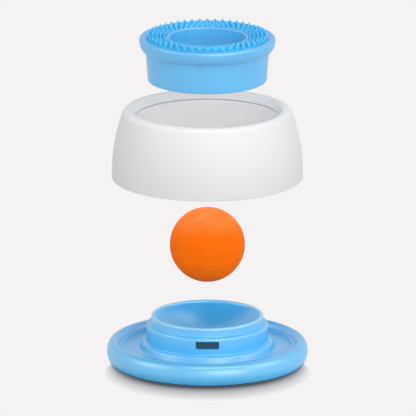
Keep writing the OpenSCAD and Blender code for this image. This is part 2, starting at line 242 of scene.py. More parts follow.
class StageSettings(bpy.types.PropertyGroup):
    """Camera, lights and floor."""

    distance: length("Distance", "Distance of the long-lens camera", 8.0)
    view_width: length("View width", "Width of the view at the bowl", 0.3097)
    look_height: length("Look height", "Height that the camera looks at", 117.7 * MM)
    look_side: length("Look side", "How far right of the axis the camera looks", 0.5 * MM)
    elevation: angle("Elevation", "Angle of the camera above the horizon", 15)
    horizon: strength("Horizon", "Strength of the light from low down all round", 1.07)
    ceiling: strength("Ceiling", "Brightness of the ceiling in reflections, against the pale walls", 0.25)
    key: strength("Key", "Strength of the key light from high behind", 0.15)
    fill: strength("Fill", "Strength of the fill light from the front", 1.0)
    sides: strength("Sides", "Strength of the light from above at each side", 0.57)
    softbox: strength("Softbox", "Power of the softbox above the camera", 7.5)
    over_shell: strength("Over the shell", "Power of the softbox over the shell", 8.0)
    over_ball: strength("Over the ball", "Power of the softbox over the ball", 12.0)
    under_ball: strength("Under the ball", "Strength of the light on the ball's lower side", 0.4)
    lamp_distance: length("Lamp distance", "Distance of the softboxes", 1.6)
    shadow_radius: length("Shadow radius", "Radius within which the floor keeps the shadow", 77 * MM)
    shadow_shift: length("Shadow shift", "How far in front of the axis that circle's centre lies", 34 * MM)
    # The contact width, contact shade and floor colour make a painted shadow on the floor in front of the
    # bowl, seen from the camera and in reflections.
    contact: length("Contact", "Width of the darkest part of the shadow, in front of the bowl", 13 * MM)
    contact_shift: length("Contact shift", "How much wider that part is in front than at the sides", 7 * MM)
    contact_shade: strength("Contact shade", "Brightness of the floor in the darkest part", 0.18)
    floor_half: length("Floor half", "Half the width of the floor", 40.0)
    backdrop: colour("Backdrop", "Colour of the backdrop, into which the floor fades", 244, 242, 242)
    floor: colour("Floor", "Colour of the floor near the bowl", 205, 203, 203)
    # The under colour is a painted glow on the floor under the bowl, which shows through the latch windows.
    under: colour("Under", "Colour of the light through the plastic, under the bowl", 42, 81, 106)


class Value:
    """A shader socket. Every operator on it adds a Math node."""

    def __init__(self, finish, socket):
        self.finish = finish
        self.socket = socket

    def maths(self, operation, first, second):
        """Adds one Math node."""
        return self.finish.node("ShaderNodeMath", {"operation": operation}, {0: first, 1: second})

    def __add__(self, other):
        return self.maths("ADD", self, other)

    def __sub__(self, other):
        return self.maths("SUBTRACT", self, other)

    def __rsub__(self, other):
        return self.maths("SUBTRACT", other, self)

    def __mul__(self, other):
        return self.maths("MULTIPLY", self, other)

    def __truediv__(self, other):
        return self.maths("DIVIDE", self, other)

    __radd__ = __add__
    __rmul__ = __mul__

    def highest(self, other):
        """The larger of two values."""
        return self.maths("MAXIMUM", self, other)

    def size(self):
        """The value without its sign."""
        return self.maths("ABSOLUTE", self, 0.0)

    def clamped(self):
        """The value kept between 0 and 1."""
        return self.maths("MINIMUM", self.highest(0.0), 1.0)


class Finish:
    """A material or world in the making, whose nodes all come from node()."""

    def __init__(self, owner):
        self.owner = owner
        owner.use_nodes = True
        self.tree = owner.node_tree
        self.tree.nodes.clear()

    def node(self, kind, settings=None, inputs=None, output=0):
        """Adds a node of a type, with its settings and then the values or links of its sockets."""
        made = self.tree.nodes.new(kind)
        for key, setting in (settings or {}).items():
            setattr(made, key, setting)
        for key, given in (inputs or {}).items():
            if isinstance(given, Value):
                self.tree.links.new(given.socket, made.inputs[key])
            else:
                made.inputs[key].default_value = given
        return Value(self, made.outputs[output]) if made.outputs else None

    def place(self):
        """Place of the point that is shaded."""
        return self.node("ShaderNodeTexCoord", output="Object")

    def noise(self, grain, detail=2.0):
        """Noise from 0 to 1, whose grain is a length in metres."""
        return self.node("ShaderNodeTexNoise", {"noise_dimensions": "3D"},
                         {"Vector": self.place(), "Scale": 1 / grain, "Detail": detail})

    def height(self):
        """Height of the point that is shaded."""
        return self.node("ShaderNodeSeparateXYZ", inputs={0: self.place()}, output="Z")

    def reach(self):
        """Distance from the axis of the point that is shaded."""
        flat = self.node("ShaderNodeVectorMath", {"operation": "MULTIPLY"}, {0: self.place(), 1: (1, 1, 0)})
        return self.node("ShaderNodeVectorMath", {"operation": "LENGTH"}, {0: flat}, output="Value")

    def distance(self, first, second):
        """Distance between two places."""
        return self.node("ShaderNodeVectorMath", {"operation": "DISTANCE"}, {0: first, 1: second},
                         output="Value")

    def mix(self, share, first, second):
        """A colour between two others."""
        return self.node("ShaderNodeMix", {"data_type": "RGBA"}, {0: share, 6: first, 7: second}, output=2)

    def bump(self, height, depth, share):
        """Normals of a grain that is so deep, and of which a share shows."""
        return self.node("ShaderNodeBump", inputs={"Height": height, "Distance": depth, "Strength": share})

    def plastic(self, **sockets):
        """The surface itself, with one Principled shader."""
        named = {key.replace("_", " ").title(): given for key, given in sockets.items()}
        named = {key.replace("Ior", "IOR"): given for key, given in named.items()}
        self.surface(self.node("ShaderNodeBsdfPrincipled", inputs=named))
        return self.owner

    def surface(self, shader):
        """Ends the material or world with its shader."""
        of_world = isinstance(self.owner, bpy.types.World)
        kind = "ShaderNodeOutputWorld" if of_world else "ShaderNodeOutputMaterial"
        self.node(kind, inputs={"Surface": shader})


def shade(tone, factor):
    """A colour made lighter or darker."""
    return (*[min(1.0, c * factor) for c in tone[:3]], 1)


def satin_plastic(name, sizes):
    """Satin moulded plastic: faint clouds, a fine grain, uneven gloss, painted shade in the cup and a painted
    highlight along the lip.
    """
    finish = Finish(bpy.data.materials.new(name))
    clouds = finish.noise(22 * MM)
    grain = finish.noise(0.35 * MM)
    outside = finish.mix(clouds, shade(sizes.plastic, 0.96), shade(sizes.plastic, 1.05))
    # Painted shade: inside the cup the plastic takes the deeper cup colour.
    inside = finish.mix(clouds, shade(sizes.cup, 0.96), shade(sizes.cup, 1.05))
    cup_shade_mask = ((sizes.collar_radius - 2 * sizes.lip_round - finish.reach()) / MM).clamped()
    # Painted highlight: the top of the lip takes the paler thin-lip colour.
    lip_highlight_mask = ((finish.height() - sizes.lip) / sizes.lip_round + 1.2).clamped()
    return finish.plastic(
        base_color=finish.mix(lip_highlight_mask, finish.mix(cup_shade_mask, outside, inside), tuple(sizes.thin)),
        roughness=0.28 + 0.08 * clouds,
        normal=finish.bump(grain, 0.03 * MM, 0.25),
        ior=2.2,
    )


def silky_silicone(name, tone):
    """Silky silicone: a soft sheen, faint clouds and a very fine grain."""
    finish = Finish(bpy.data.materials.new(name))
    clouds = finish.noise(18 * MM)
    grain = finish.noise(0.28 * MM)
    return finish.plastic(
        base_color=finish.mix(clouds, shade(tone, 0.96), shade(tone, 1.05)),
        roughness=0.3 + 0.08 * clouds,
        normal=finish.bump(grain, 0.02 * MM, 0.25),
        ior=2.1,
    )


def nub_silicone(name, sizes, ring):
    """Silicone of the nubs: darker between them as painted shade and paler towards the tips as painted light.
    """
    finish = Finish(bpy.data.materials.new(name))
    slope = ring.pad_dip / (ring.pad_outer - ring.pad_inner)
    foot = (finish.reach() - ring.pad_inner) * slope + plate_top(ring, ring.pad_inner) + ring.pad_thickness
    # Painted shade low between the nubs and painted light towards the tips, by height above the pad.
    rise = ((finish.height() - foot) / sizes.height).clamped()
    clouds = finish.noise(9 * MM)
    deep = finish.mix(clouds, shade(sizes.silicone, 0.9), shade(sizes.silicone, 1.1))
    return finish.plastic(
        base_color=finish.mix(rise * rise * 0.9, deep, tuple(sizes.painted_tip_light)),
        roughness=0.38 + 0.1 * clouds,
        normal=finish.bump(finish.noise(0.28 * MM), 0.02 * MM, 0.2),
        specular_ior_level=0.3,
    )


def fine_matt_plastic(name, sizes):
    """Fine matt plastic of the shell: an even grain, a painted lighter tone inside the mouth and a painted
    shade line in the mouth's groove.
    """
    finish = Finish(bpy.data.materials.new(name))
    tone = sizes.plastic
    # Painted shade: a dark line, 0.45 of the tone, along the fine groove inside the mouth.
    groove = sizes.top - sizes.mouth_depth + sizes.mouth_groove
    level = ((finish.height() - groove).size() / MM * 1.4).clamped()
    # Painted light: inside the mouth the shell takes the paler inside colour.
    beyond = ((finish.reach() - sizes.mouth_radius) / MM).clamped()
    free_of_groove_shade = level.highest(beyond)
    clouds = finish.noise(26 * MM)
    grain = finish.noise(0.5 * MM, detail=3.0)
    speckle = finish.noise(1.6 * MM)
    outside = finish.mix(0.7 * clouds + 0.3 * speckle, shade(tone, 0.97), shade(tone, 1.02))
    return finish.plastic(
        base_color=finish.mix(free_of_groove_shade, shade(tone, 0.45), finish.mix(beyond, tuple(sizes.inside), outside)),
        roughness=0.5 + 0.12 * clouds,
        normal=finish.bump(grain, 0.04 * MM, 0.3),
    )


def mottled_matt_plastic(name, sizes):
    """Matt plastic of the ball: mottled, with a painted highlight on its crown."""
    finish = Finish(bpy.data.materials.new(name))
    tone = sizes.plastic
    clouds = finish.noise(11 * MM, detail=3.0)
    grain = finish.noise(0.6 * MM, detail=3.0)
    mottle = (clouds * 1.6 - 0.45).clamped()
    # Painted highlight: the crown is coloured paler towards the top, mottled by the clouds.
    crown = ((finish.height() - sizes.centre) / sizes.radius * 1.8 - 0.7).clamped()
    painted_highlight = (crown * (0.2 + clouds)).clamped()
    return finish.plastic(
        base_color=finish.mix(painted_highlight, finish.mix(mottle, tuple(tone), shade(tone, 1.2)), tuple(sizes.painted_highlight)),
        roughness=0.5 + 0.15 * clouds,
        normal=finish.bump(grain, 0.05 * MM, 0.35),
        specular_ior_level=0.07,
    )


def foot_rubber(name, tone):
    """Matt rubber with dust in its grain."""
    finish = Finish(bpy.data.materials.new(name))
    dust = finish.noise(3 * MM, detail=4.0)
    grain = finish.noise(0.3 * MM)
    return finish.plastic(
        base_color=finish.mix(dust, shade(tone, 0.8), shade(tone, 1.25)),
        roughness=0.65 + 0.2 * dust,
        normal=finish.bump(grain, 0.06 * MM, 0.4),
    )


def arc(r, z, radius, start, end, steps=8, tall=1.0):
    """Points of an arc round (r, z) in a section, between angles in degrees, stretched upright by tall."""
    turns = [radians(start + (end - start) * i / steps) for i in range(steps + 1)]
    return [(r + radius * cos(turn), z + tall * radius * sin(turn)) for turn in turns]


def draw_section(mesh, outline, r=0.0, closed=True):
    """Draws a section as edges in the XZ plane, rounds its corners and returns its vertices and edges.

    A corner is (r, z) or (r, z, rounding). The outline closes on itself unless it ends on the axis.
    """
    before = set(mesh.verts)
    verts = [mesh.verts.new((r + point[0], 0, point[1])) for point in outline]
    ends = verts[1:] + verts[:1] if closed else verts[1:]
    for pair in zip(verts, ends):
        mesh.edges.new(pair)
    roundings = {}
    for vert, point in zip(verts, outline):
        if len(point) > 2:
            roundings.setdefault(point[2], []).append(vert)
    for rounding, corners in roundings.items():
        bmesh.ops.bevel(mesh, geom=corners, offset=rounding, offset_type="OFFSET", affect="VERTICES",
                        segments=ROUND_SEGMENTS, profile=0.5, material=-1)
    drawn = [vert for vert in mesh.verts if vert not in before]
    return drawn, [edge for edge in mesh.edges if edge.verts[0] not in before]


def spin_section(mesh, outline, steps=SPIN_STEPS, r=0.0, closed=True):
    """Spins a section into a closed solid round an upright axis at (r, 0)."""
    before = set(mesh.verts)
    drawn, wires = draw_section(mesh, outline, r, closed)
    bmesh.ops.spin(mesh, geom=drawn + wires, cent=(r, 0, 0), axis=(0, 0, 1), angle=2 * pi, steps=steps,
                   use_merge=True)
    spun = [vert for vert in mesh.verts if vert not in before]
    bmesh.ops.remove_doubles(mesh, verts=spun, dist=MERGE_DISTANCE)
    return [vert for vert in mesh.verts if vert not in before]


def add_object(name, data):
    """Adds an object to the scene."""
    obj = bpy.data.objects.new(name, data)
    bpy.context.scene.collection.objects.link(obj)
    return obj


def finish_piece(name, mesh, material, body, nodes):
    """Makes the mesh an object that rides on a body and stands for CAD nodes."""
    bmesh.ops.recalc_face_normals(mesh, faces=mesh.faces)
    data = bpy.data.meshes.new(name)
    mesh.to_mesh(data)
    mesh.free()
    data.shade_smooth()
    data.set_sharp_from_angle(angle=SHARP_ANGLE)
    data.materials.append(material)
    obj = add_object(name, data)
    normals = obj.modifiers.new("Even shading", "WEIGHTED_NORMAL")
    normals.keep_sharp = True
    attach(obj, body)
    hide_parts(*nodes)
    return obj


def turn_of(point):
    """Angle of a point round the axis."""
    return atan2(point.y, point.x)


def apart(first, second):
    """Size of the angle between two turns."""
    return abs((first - second + pi) % (2 * pi) - pi)


def base_outline(s):
    """Section of the base from the middle of the cup outwards, round the oval rim and back underneath."""
    soft = 0.6 * MM
    crisp = 0.4 * MM
    half = s.rim_width / 2
    rim = s.rim_radius - half
    middle = s.rim_crest - s.rim_half
    cut = BASE_LOW.z
    cut_turn = degrees(asin((middle - cut) / s.rim_half))
    step_top = s.tray + s.step
    step_turn = 180 - degrees(asin((step_top - middle) / s.rim_half))
    lip_r = s.collar_radius - s.lip_round
    lip_z = s.lip - s.lip_round
    cup_edge = lip_r - s.lip_round
    rise = s.cup_depth - s.lip_round - s.lip_drop
    cup_r = (cup_edge ** 2 + rise ** 2) / (2 * rise)
    cup_z = s.lip - s.cup_depth + cup_r
    cup_turn = -degrees(acos(cup_edge / cup_r))
    under = s.tray - s.wall
    under_turn = 180 - degrees(asin((under - middle) / s.rim_half))
    ceiling = s.shoulder - s.wall
    sill = ceiling - s.window_height
    foot_top_r = s.foot_radius - s.foot_flare
    neck_in = s.neck_radius - s.wall
    collar_in = s.collar_radius - s.wall
    shell_turn = -degrees(acos(collar_in / (cup_r + s.wall)))
    groove = s.groove_width / 2
    return [
        *arc(0, cup_z, cup_r, -90, cup_turn, 28),
        *arc(lip_r, lip_z, s.lip_round, 180, 0, 14),
        (s.collar_radius, s.shoulder, soft),
        (s.neck_radius, s.shoulder, 3.2 * soft),
        (s.neck_radius, ceiling),
        (s.neck_radius, sill),
        (s.neck_radius, s.foot_top, soft),
        (foot_top_r, s.foot_top, 2.4 * soft),
        (s.foot_radius, s.tray, 1.6 * soft),
        (s.tray_radius, s.tray, soft),
        (s.tray_radius, step_top, crisp),
        *arc(rim, middle, half, step_turn, -cut_turn, 44, tall=s.rim_half / half),
        (rim + groove, cut, crisp),
        (rim + groove, s.groove_top),
        (rim - groove, s.groove_top),
        (rim - groove, cut, crisp),
        *arc(rim, middle, half, 180 + cut_turn, under_turn, 12, tall=s.rim_half / half),
        (foot_top_r - s.wall, under, soft),
        (neck_in, s.foot_top - s.wall, soft),
        (neck_in, sill),
        (neck_in, ceiling),
        (collar_in, ceiling, soft),
        *arc(0, cup_z, cup_r + s.wall, shell_turn, -90, 24),
    ]


def cut_latch_windows(mesh, s):
    """Opens the windows through the lower neck and rounds their corners and outer edges."""
    ceiling = s.shoulder - s.wall
    sill = ceiling - s.window_height
    half_width = WINDOW_COLUMNS / 2 * COLUMN
    for turn in LATCH_TURNS:
        opened = []
        for face in mesh.faces:
            centre = face.calc_center_median()
            reach = hypot(centre.x, centre.y)
            on_wall = s.neck_radius - 1.1 * s.wall < reach < s.neck_radius + MM
            if on_wall and sill < centre.z < ceiling and apart(turn_of(centre), turn) < half_width:
                opened.append(face)
        bmesh.ops.delete(mesh, geom=opened, context="FACES")
        rims = [edge for edge in mesh.edges if edge.is_boundary]
        tunnel = bmesh.ops.bridge_loops(mesh, edges=rims)["faces"]
        across = {edge for face in tunnel for edge in face.edges} - set(rims)
        corners = [edge for edge in mesh.edges if edge in across and edge.calc_face_angle() > CORNER_ANGLE]
        bmesh.ops.bevel(mesh, geom=corners, offset=s.window_round, offset_type="OFFSET", affect="EDGES",
                        segments=WINDOW_SEGMENTS, profile=0.5, material=-1)
        brim = []
        for edge in mesh.edges:
            middle = (edge.verts[0].co + edge.verts[1].co) / 2
            outside = min(hypot(v.co.x, v.co.y) for v in edge.verts) > s.neck_radius - 0.1 * MM
            near = apart(turn_of(middle), turn) < half_width + COLUMN / 2
            if outside and near and sill - MM < middle.z < ceiling + 0.2 * MM:
                if edge.is_manifold and edge.calc_face_angle() > CORNER_ANGLE:
                    brim.append(edge)
        bmesh.ops.bevel(mesh, geom=brim, offset=s.window_round, offset_type="OFFSET", affect="EDGES",
                        segments=WINDOW_SEGMENTS, profile=0.5, material=-1, clamp_overlap=True)


def ball_half_outline(s, side):
    """Section of one half of the ball, above the parting line for side 1 and below it for side -1."""
    inner = s.radius - s.wall
    edge = degrees(asin(s.seam / s.radius))
    outer_arc = arc(0, 0, s.radius, 90, edge, 40)
    inner_arc = arc(0, 0, inner, 0, 90, 20)
    outline = [*outer_arc[:-1], (*outer_arc[-1], 0.5 * s.seam), (s.radius - s.seam, 0), *inner_arc]
    return [(point[0], side * point[1], *point[2:]) for point in outline]


def shell_outline(s):
    """Section of the shell: dome, top edge, stepped mouth, inner wall, sleeve and the dome's hollow."""
    soft = 0.5 * MM
    over = 1.5 * MM
    band = 1.6 * MM
    foot = s.low
    rise = s.top - s.top_round + over - foot - s.upright
    inset = s.radius - s.top_radius
    dome_r = (rise ** 2 + inset ** 2) / (2 * inset)
    dome_x = s.radius - dome_r
    dome_z = foot + s.upright
    round_z = s.top - s.top_round
    round_x = dome_x + sqrt((dome_r - s.top_round) ** 2 - (round_z - dome_z) ** 2)
    lean = degrees(atan2(round_z - dome_z, round_x - dome_x))
    foot_turn = -degrees(asin(s.upright / dome_r))
    inner_r = dome_r - s.wall
    inner_foot = -degrees(asin(s.upright / inner_r))
    step = s.top - s.mouth_depth
    mouth_low = s.mouth_radius - s.mouth_taper
    band_out = s.mouth_radius + band
    liner_out = s.liner_radius + s.sleeve_wall
    shelf = foot + s.shelf
    roof = step + s.sleeve_wall
    inner_turn = degrees(asin((roof - dome_z) / inner_r))
    sleeve_out = s.sleeve_radius + s.sleeve_wall
    dome = arc(dome_x, dome_z, dome_r, foot_turn, lean, 24)
    lining = arc(dome_x, dome_z, inner_r, inner_turn, inner_foot, 24)
    return [
        (*dome[0], soft),
        *dome[1:],
        *arc(round_x, round_z, s.top_round, lean, 90, 10)[1:],
        *arc(s.mouth_radius + s.mouth_round, s.top - s.mouth_round, s.mouth_round, 90, 180, 8),
        *arc(mouth_low, step + s.mouth_groove, s.mouth_groove, 90, -90, 6),
        (s.liner_radius, step, soft),
        (s.liner_radius, shelf, soft),
        (s.sleeve_radius, shelf, soft),
        (s.sleeve_radius, SHELL_LOW.z + s.finger),
        (s.sleeve_radius, SHELL_LOW.z),
        (sleeve_out, SHELL_LOW.z),
        (sleeve_out, SHELL_LOW.z + s.finger),
        (sleeve_out, shelf - s.sleeve_wall, soft),
        (liner_out, shelf - s.sleeve_wall, soft),
        (liner_out, step - s.sleeve_wall, soft),
        (band_out, step - s.sleeve_wall, 0.6 * soft),
        (band_out, roof, soft),
        *lining[:-1],
        (*lining[-1], soft),
    ]


def cut_finger_slots(mesh, s):
    """Slots that free a spring finger on both sides of each latch tab."""
    top = SHELL_LOW.z + s.finger
    sleeve_out = s.sleeve_radius + s.sleeve_wall
    finger_half = FINGER_COLUMNS / 2 * COLUMN
    slots = [turn + side * finger_half for turn in LATCH_TURNS for side in (-1, 1)]
    cut = []
    for face in mesh.faces:
        centre = face.calc_center_median()
        on_sleeve = s.sleeve_radius - MM < hypot(centre.x, centre.y) < sleeve_out + MM
        if on_sleeve and centre.z < top and min(apart(turn_of(centre), slot) for slot in slots) < COLUMN / 2:
            cut.append(face)
    bmesh.ops.delete(mesh, geom=cut, context="FACES")
    for slot in slots:
        rim = [edge for edge in mesh.edges if edge.is_boundary and all(
            apart(turn_of(vert.co), slot) < COLUMN for vert in edge.verts)]
        for side in (-1, 1):
            flank = [edge for edge in rim if all(
                apart(turn_of(vert.co), slot + side * COLUMN / 2) < COLUMN / 4 for vert in edge.verts)]
            ends = [vert for edge in flank for vert in edge.verts
                    if sum(vert in other.verts for other in flank) == 1]
            closing = mesh.edges.new(ends)
            bmesh.ops.contextual_create(mesh, geom=flank + [closing])
        head = [edge for edge in mesh.edges if edge.is_boundary and all(
            apart(turn_of(vert.co), slot) < COLUMN for vert in edge.verts)]
        bmesh.ops.contextual_create(mesh, geom=head)


def add_latch_tabs(mesh, s):
    """Tabs inside the spring fingers, with a ramp below and a square catch above."""
    soft = 0.2 * MM
    low = s.low + s.tab_low
    high = low + s.tab_height
    sunk = s.sleeve_radius + 0.3 * s.sleeve_wall
    outline = [(sunk, low - MM), (s.sleeve_radius, low - MM), (s.tab_tip, low + MM, soft),
               (s.tab_tip, high, soft), (sunk, high)]
    reach = TAB_COLUMNS / 2 * COLUMN
    for turn in LATCH_TURNS:
        drawn, wires = draw_section(mesh, outline)
        bmesh.ops.rotate(mesh, verts=drawn, matrix=Matrix.Rotation(turn - reach, 3, "Z"))
        bmesh.ops.spin(mesh, geom=drawn + wires, axis=(0, 0, 1), angle=2 * reach, steps=TAB_COLUMNS)
        ends = [edge for edge in mesh.edges if edge.is_boundary]
        bmesh.ops.holes_fill(mesh, edges=ends, sides=0)


def plate_top(s, r):
    """Height of the dipped plate under the nub pad at a radius."""
    slope = s.pad_dip / (s.pad_outer - s.pad_inner)
    return s.level + s.crest_round - s.pad_thickness - (s.pad_outer - r) * slope


def ring_outline(s):
    """Section of the lick ring: rounded rim, skirt, tube round the hole and the plate between them."""
    soft = 0.5 * MM
    z = s.level
    crest_x = s.radius - s.crest_round
    belly_x = s.radius - s.belly
    belly_turn = degrees(asin(s.rim_drop / s.belly))
    under = z - s.rim_drop
    skirt_in = s.skirt_radius - s.wall
    end = s.wall / 2
    lean = atan2(s.skirt_taper, under - s.low)
    skirt_low_x = s.skirt_radius - end - s.skirt_taper
    tube_x = s.hole_radius + s.tube_end
    tube_out = tube_x + s.tube_end
    lip_x = s.hole_radius + s.hole_lip
    lip_z = z + s.hole_rise + s.tube_end - s.hole_lip
    lip_out = lip_x + s.hole_lip
    tip = degrees(lean)
    tilt = atan(s.pad_dip / (s.pad_outer - s.pad_inner))
    meet = degrees(pi / 2 + tilt + acos((plate_top(s, crest_x) - z) * cos(tilt) / s.crest_round))
    return [
        *arc(crest_x, z, s.crest_round, meet, 0, 16),
        *arc(belly_x, z, s.belly, 0, -belly_turn, 12)[1:-1],
        (belly_x + s.belly * cos(radians(belly_turn)), under, 0.6 * soft),
        (s.skirt_radius, under + s.undercut, 0.6 * soft),
        *arc(skirt_low_x, s.low + end, end, -tip, -180 - tip, 10),
        (skirt_in, under),
        (skirt_in, plate_top(s, skirt_in) - s.plate, soft),
        (tube_out, plate_top(s, tube_out) - s.plate, soft),
        *arc(tube_x, z - s.tube_depth, s.tube_end, 0, -180, 8),
        *arc(lip_x, lip_z, s.hole_lip, 180, 0, 14),
        (lip_out, plate_top(s, lip_out)),
    ]


def nub_outline(s, foot):
    """Section of one nub whose foot is at a height, sunk a little into the pad, with a rounded tip."""
    sunk = 0.5 * MM
    tip_z = foot + s.height - s.tip
    return [
        (0, foot - sunk),
        (s.foot, foot - sunk),
        (0.9 * s.foot, foot),
        (0.5 * s.foot, foot + 0.5 * (tip_z - foot)),
        *arc(0, tip_z, s.tip, 18, 90, 2),
    ]


def pad_outline(s, ring):
    """Section of the pad, which lies on the ring's dipped plate."""
    edge = 0.25 * MM
    inner = ring.pad_inner + s.edge
    outer = ring.pad_outer - s.edge
    low, high = plate_top(ring, inner), plate_top(ring, outer)
    return [(inner, low), (outer, high), (outer, high + ring.pad_thickness, edge),
            (inner, low + ring.pad_thickness, edge)]


def add_nubs(mesh, s, ring):
    """Staggered rows of nubs, each row copied round from its first nub."""
    row_width = (ring.pad_outer - ring.pad_inner - 2 * s.edge) / s.rows
    step = 2 * pi / s.row_count
    for row in range(s.rows):
        r = ring.pad_inner + s.edge + (row + 0.5) * row_width
        foot = plate_top(ring, r) + ring.pad_thickness
        nub = spin_section(mesh, nub_outline(s, foot), steps=NUB_STEPS, r=r, closed=False)
        bmesh.ops.scale(mesh, verts=nub, vec=(1, s.stretch, 1))
        bmesh.ops.rotate(mesh, verts=nub, matrix=Matrix.Rotation((row % 2) * step / 2, 3, "Z"))
        own = set(nub)
        faces = [face for face in mesh.faces if face.verts[0] in own]
        for i in range(1, s.row_count):
            copy = bmesh.ops.duplicate(mesh, geom=faces)["geom"]
            verts = [item for item in copy if isinstance(item, bmesh.types.BMVert)]
            bmesh.ops.rotate(mesh, verts=verts, matrix=Matrix.Rotation(i * step, 3, "Z"))


class LICKBOWL_OT_base(bpy.types.Operator):
    """Model the stepped base with its cup and latch windows"""

    bl_idname = "lickbowl.base"
    bl_label = "Stepped Base"

    def execute(self, context):
        sizes = context.scene.lickbowl_base
        mesh = bmesh.new()
        spin_section(mesh, base_outline(sizes), closed=False)
        cut_latch_windows(mesh, sizes)
        plastic = satin_plastic("Satin blue", sizes)
        finish_piece("base_moulding", mesh, plastic, "base", ["base"])
        return {"FINISHED"}


class LICKBOWL_OT_foot_ring(bpy.types.Operator):
    """Give the foot ring its rubber"""

    bl_idname = "lickbowl.foot_ring"
    bl_label = "Foot Ring"

    def execute(self, context):
        ring = frame["nodes"]["foot_ring"]
        ring.data.materials.clear()
        ring.data.materials.append(foot_rubber("Foot rubber", context.scene.lickbowl_base.rubber))
        return {"FINISHED"}


class LICKBOWL_OT_ball(bpy.types.Operator):
    """Model the two halves of the hollow ball"""

    bl_idname = "lickbowl.ball"
    bl_label = "Ball"

    def execute(self, context):
        sizes = context.scene.lickbowl_ball
        plastic = mottled_matt_plastic("Matt orange", sizes)
        for name, side in (("upper", 1), ("lower", -1)):
            mesh = bmesh.new()
            spin_section(mesh, ball_half_outline(sizes, side), steps=BALL_STEPS, closed=False)
            bmesh.ops.rotate(mesh, verts=mesh.verts, matrix=Matrix.Rotation(sizes.tilt, 3, "X"))
            bmesh.ops.translate(mesh, verts=mesh.verts, vec=(0, 0, sizes.centre))
            finish_piece(f"ball_{name}", mesh, plastic, "ball", [f"ball_{name}_half"])
        return {"FINISHED"}


class LICKBOWL_OT_shell(bpy.types.Operator):
    """Model the domed outer shell with its sleeve, spring fingers and latch tabs"""

    bl_idname = "lickbowl.shell"
    bl_label = "Outer Shell"

    def execute(self, context):
        sizes = context.scene.lickbowl_shell
        mesh = bmesh.new()
        spin_section(mesh, shell_outline(sizes))
        cut_finger_slots(mesh, sizes)
        add_latch_tabs(mesh, sizes)
        plastic = fine_matt_plastic("Fine matt white", sizes)
        finish_piece("shell_moulding", mesh, plastic, "shell", ["shell"])
        return {"FINISHED"}


class LICKBOWL_OT_ring(bpy.types.Operator):
    """Model the lick ring with its rim, skirt and tube"""

    bl_idname = "lickbowl.ring"
    bl_label = "Lick Ring"

    def execute(self, context):
        sizes = context.scene.lickbowl_ring
        mesh = bmesh.new()
        spin_section(mesh, ring_outline(sizes))
        silicone = silky_silicone("Silky blue", sizes.silicone)
        finish_piece("ring_moulding", mesh, silicone, "ring", ["lick_ring"])
        return {"FINISHED"}


class LICKBOWL_OT_nubs(bpy.types.Operator):
    """Model the pad with its rows of soft nubs"""

    bl_idname = "lickbowl.nubs"
    bl_label = "Nub Pad"

    def execute(self, context):
        sizes = context.scene.lickbowl_nubs
        ring = context.scene.lickbowl_ring
        mesh = bmesh.new()
        spin_section(mesh, pad_outline(sizes, ring))
        add_nubs(mesh, sizes, ring)
        silicone = nub_silicone("Deep blue silicone", sizes, ring)
        finish_piece("nub_pad", mesh, silicone, "ring", ["lick_nubs"])
        return {"FINISHED"}


def backdrop_rays(finish):
    """1 for rays from the camera and for reflections, 0 for the light on the object."""
    outputs = finish.node("ShaderNodeLightPath").socket.node.outputs
    kinds = ("Is Camera Ray", "Is Glossy Ray", "Is Transmission Ray")
    camera, glossy, transmission = [Value(finish, outputs[kind]) for kind in kinds]
    return camera.highest(glossy).highest(transmission)


def make_world(s):
    """Light from pale walls all round, with the backdrop's colour where the world itself is seen."""
    world = bpy.data.worlds.new("Studio")
    finish = Finish(world)
    toward = finish.node("ShaderNodeTexCoord", output="Generated")
    rise = finish.node("ShaderNodeSeparateXYZ", inputs={0: toward}, output="Z")
    wall = ((WALL_TOP - rise) / WALL_FADE).clamped()
    light = finish.node("ShaderNodeBackground", inputs={"Color": (1, 1, 1, 1), "Strength": wall * s.horizon})
    mirrored = ((MIRRORED_TOP - rise) / WALL_FADE).clamped()
    level = s.ceiling + (1 - s.ceiling) * mirrored
    pale = finish.node("ShaderNodeBackground", inputs={"Color": tuple(s.backdrop), "Strength": level})
    finish.surface(finish.node("ShaderNodeMixShader", inputs={0: backdrop_rays(finish), 1: light, 2: pale}))
    bpy.context.scene.world = world


def floor_material(s):
    """Pale floor that keeps the shadow in front of the bowl, deepens it with a painted shadow seen from the
    camera, has a painted glow under the bowl and fades into the backdrop further out.
    """
    finish = Finish(bpy.data.materials.new("Pale floor"))
    place = finish.place()
    beyond_front = finish.distance(place, (0, -s.contact_shift, 0)) - (BASE_HIGH.x - s.contact_shift)
    within_shadow = s.shadow_radius - finish.distance(place, (0, -s.shadow_shift, 0))
    fade = (beyond_front / (beyond_front + within_shadow).highest(MM)).clamped()
    inside_rim = BASE_HIGH.x - 2 * MM
    under_bowl = ((inside_rim - finish.distance(place, (0, 0, 0))) / MM).clamped()
    seen = backdrop_rays(finish)
    share = fade.highest(under_bowl) * seen
    # Painted shadow: near the bowl the floor is darker to the camera and in reflections than to the light,
    # darkest in front of the bowl.
    clear = (beyond_front / s.contact).clamped()
    painted_floor_shadow = finish.mix(clear, shade(s.floor, s.contact_shade), tuple(s.floor))
    tone = finish.mix(seen, tuple(s.backdrop), painted_floor_shadow)
    matt = finish.node("ShaderNodeBsdfDiffuse", inputs={"Color": tone})
    # Painted glow: under the bowl the floor gives off the dark under colour, seen through the latch windows.
    painted_under_glow = finish.mix(under_bowl, tuple(s.backdrop), tuple(s.under))
    pale = finish.node("ShaderNodeEmission", inputs={"Color": painted_under_glow, "Strength": 1.0})
    finish.surface(finish.node("ShaderNodeMixShader", inputs={0: share, 1: matt, 2: pale}))
    return finish.owner


